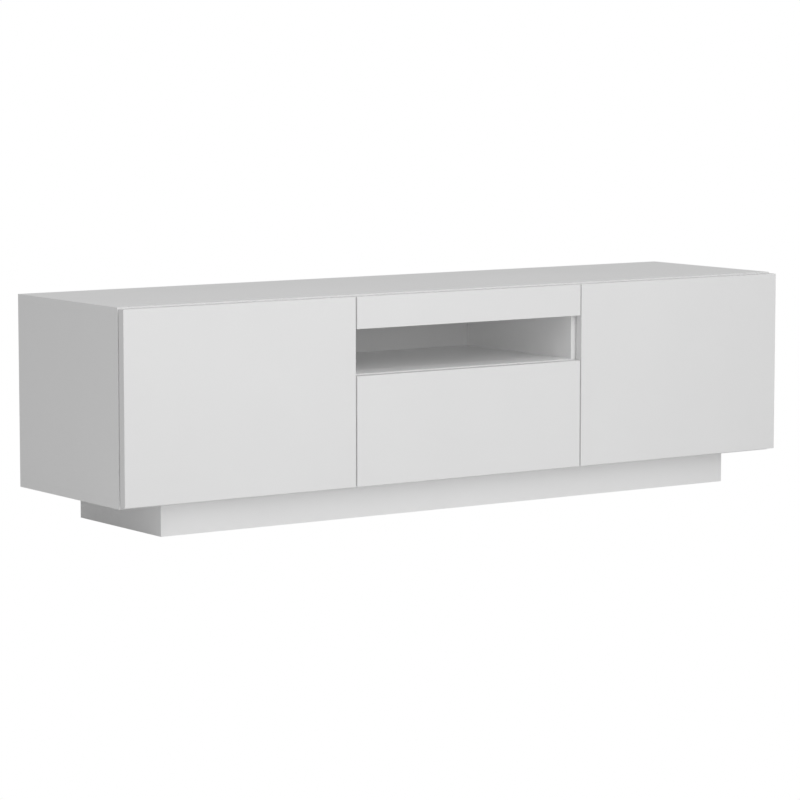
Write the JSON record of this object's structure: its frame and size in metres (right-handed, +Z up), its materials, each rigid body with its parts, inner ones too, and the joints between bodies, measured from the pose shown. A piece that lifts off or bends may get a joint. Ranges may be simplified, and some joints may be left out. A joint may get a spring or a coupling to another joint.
{
  "type": "tv stand with doors",
  "caption": "Long low white TV stand with full-height handle-less doors at both ends, an open niche over a drawer in the middle, and a recessed plinth.",
  "frame": {"origin": "on the floor, under the middle of the stand's whole width and depth", "axes": "+X to the right seen from the front, +Y from the front to the back, +Z up"},
  "size_m": [1.6, 0.41, 0.445],
  "materials": {
    "white_front": "satin white lacquered fibreboard",
    "white_board": "satin white melamine on particle board, white edge band",
    "back_panel": "thin fibreboard, printed white on the face",
    "drawer_board": "white foil on particle board",
    "hinge_steel": "nickel-plated pressed steel",
    "runner_steel": "bright zinc-plated steel strip",
    "latch_plastic": "fine-grained grey moulded plastic",
    "plunger_plastic": "smooth white moulded plastic",
    "shelf_support": "white moulded plastic"
  },
  "bodies": {
    "cabinet": {"top_panel": "white_board", "bottom_panel": "white_board", "left_side_panel": "white_board", "right_side_panel": "white_board", "left_divider": "white_board", "right_divider": "white_board", "niche_shelf": "white_board", "left_back_panel": "back_panel", "centre_back_panel": "back_panel", "right_back_panel": "back_panel", "fascia": "white_front", "fascia_batten": "white_board", "plinth_front": "white_board", "plinth_back": "white_board", "plinth_left": "white_board", "plinth_right": "white_board", "plinth_left_brace": "white_board", "plinth_right_brace": "white_board", "left_shelf": "white_board", "right_shelf": "white_board", "left_shelf_support_outer_front": "shelf_support", "left_shelf_support_outer_rear": "shelf_support", "left_shelf_support_inner_front": "shelf_support", "left_shelf_support_inner_rear": "shelf_support", "right_shelf_support_outer_front": "shelf_support", "right_shelf_support_outer_rear": "shelf_support", "right_shelf_support_inner_front": "shelf_support", "right_shelf_support_inner_rear": "shelf_support", "left_lower_hinge_arm": "hinge_steel", "left_upper_hinge_arm": "hinge_steel", "right_lower_hinge_arm": "hinge_steel", "right_upper_hinge_arm": "hinge_steel", "left_lower_hinge_plate": "hinge_steel", "left_upper_hinge_plate": "hinge_steel", "right_lower_hinge_plate": "hinge_steel", "right_upper_hinge_plate": "hinge_steel", "left_runner_outer": "runner_steel", "right_runner_outer": "runner_steel", "left_door_latch_housing": "latch_plastic", "right_door_latch_housing": "latch_plastic", "drawer_latch_housing": "latch_plastic"},
    "left_door": {"left_door": "white_front", "left_lower_hinge_cup": "hinge_steel", "left_upper_hinge_cup": "hinge_steel"},
    "right_door": {"right_door": "white_front", "right_lower_hinge_cup": "hinge_steel", "right_upper_hinge_cup": "hinge_steel"},
    "drawer": {"drawer_front": "white_front", "drawer_left_side": "drawer_board", "drawer_right_side": "drawer_board", "drawer_back": "drawer_board", "drawer_bottom": "back_panel", "left_runner_inner": "runner_steel", "right_runner_inner": "runner_steel"},
    "left_runner_middle": {"left_runner_middle": "runner_steel"},
    "right_runner_middle": {"right_runner_middle": "runner_steel"},
    "left_door_plunger": {"left_door_latch_plunger": "plunger_plastic"},
    "right_door_plunger": {"right_door_latch_plunger": "plunger_plastic"},
    "drawer_plunger": {"drawer_latch_plunger": "plunger_plastic"}
  },
  "joints": [
    {"name": "left_door_hinge", "type": "hinge", "parent": "cabinet", "child": "left_door", "pos_m": [-0.792, -0.196, 0.2555], "axis": [0, 0, -1], "range_deg": [0, 95]},
    {"name": "right_door_hinge", "type": "hinge", "parent": "cabinet", "child": "right_door", "pos_m": [0.792, -0.196, 0.2555], "axis": [0, 0, 1], "range_deg": [0, 95]},
    {"name": "drawer_slide", "type": "slide", "parent": "cabinet", "child": "drawer", "axis": [0, -1, 0], "range_m": [0, 0.33]},
    {"name": "left_runner_slide", "type": "slide", "parent": "cabinet", "child": "left_runner_middle", "axis": [0, -1, 0], "range_m": [0, 0.165]},
    {"name": "right_runner_slide", "type": "slide", "parent": "cabinet", "child": "right_runner_middle", "axis": [0, -1, 0], "range_m": [0, 0.165]},
    {"name": "left_plunger_slide", "type": "slide", "parent": "cabinet", "child": "left_door_plunger", "axis": [0, -1, 0], "range_m": [0, 0.03]},
    {"name": "right_plunger_slide", "type": "slide", "parent": "cabinet", "child": "right_door_plunger", "axis": [0, -1, 0], "range_m": [0, 0.03]},
    {"name": "drawer_plunger_slide", "type": "slide", "parent": "cabinet", "child": "drawer_plunger", "axis": [0, -1, 0], "range_m": [0, 0.03]}
  ],
  "couplings": [
    {"joint": "left_runner_slide", "follows": "drawer_slide", "ratio": 0.5},
    {"joint": "right_runner_slide", "follows": "drawer_slide", "ratio": 0.5},
    {"joint": "drawer_plunger_slide", "follows": "drawer_slide", "ratio": 0.0909},
    {"joint": "left_plunger_slide", "follows": "left_door_hinge", "m_per_rad": 0.018},
    {"joint": "right_plunger_slide", "follows": "right_door_hinge", "m_per_rad": 0.018}
  ]
}
